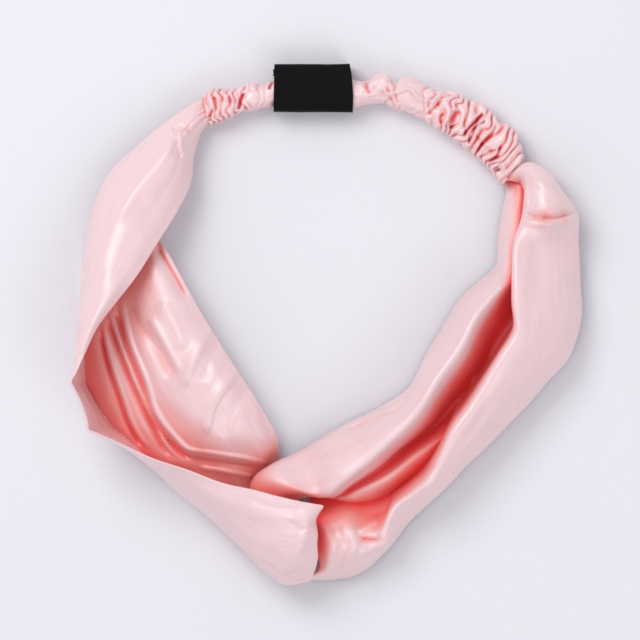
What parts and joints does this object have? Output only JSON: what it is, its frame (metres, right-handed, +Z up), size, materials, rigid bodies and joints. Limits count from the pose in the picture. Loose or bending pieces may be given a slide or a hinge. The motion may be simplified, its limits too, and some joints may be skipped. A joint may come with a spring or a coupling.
{
  "type": "knotted headband",
  "caption": "Satin headband that holds hair back: wide soft bands hooked through each other in a front knot, joined behind by a ruched elastic casing with a woven label.",
  "frame": {"origin": "on the table under the middle of the headband's outline, which is inside the head opening", "axes": "+Z up from the table it lies on, +Y from the front knot towards the elastic casing and its label, +X to the right seen from above"},
  "size_m": [0.1827, 0.187, 0.0351],
  "materials": {
    "satin_left": "pale pink silk satin",
    "satin_right": "pale pink silk satin",
    "satin_casing": "pale pink silk satin, ruched",
    "elastic": "braided elastic",
    "label": "woven, matt black",
    "black_thread": "polyester thread",
    "pink_thread": "polyester thread"
  },
  "bodies": {
    "back": {"elastic_casing": "satin_casing", "casing_seam": "pink_thread", "elastic_strip": "elastic"},
    "left_side": {"left_band": "satin_left", "left_band_seam": "pink_thread", "left_gather_thread": "pink_thread", "left_elastic_stitches": "pink_thread"},
    "right_side": {"right_band": "satin_right", "right_band_seam": "pink_thread", "right_gather_thread": "pink_thread", "right_elastic_stitches": "pink_thread"},
    "label": {"wrap_label": "label", "label_seam_thread": "black_thread"}
  },
  "joints": [
    {"name": "left_swing", "type": "hinge", "parent": "back", "child": "left_side", "pos_m": [-0.005, -0.07725, 0.014], "axis": [0, 0, 1], "range_deg": [0, 7], "stiffness_Nm_per_rad": 2, "deforming": ["elastic_casing", "casing_seam", "elastic_strip"]},
    {"name": "right_swing", "type": "hinge", "parent": "back", "child": "right_side", "pos_m": [-0.005, -0.07725, 0.014], "axis": [0, 0, -1], "range_deg": [0, 17.5], "stiffness_Nm_per_rad": 2},
    {"name": "label_slide", "type": "slide", "parent": "back", "child": "label", "axis": [1, 0, 0], "range_m": [-0.003, 0.008]}
  ],
  "couplings": [
    {"joint": "right_swing", "follows": "left_swing", "ratio": 2.5}
  ]
}
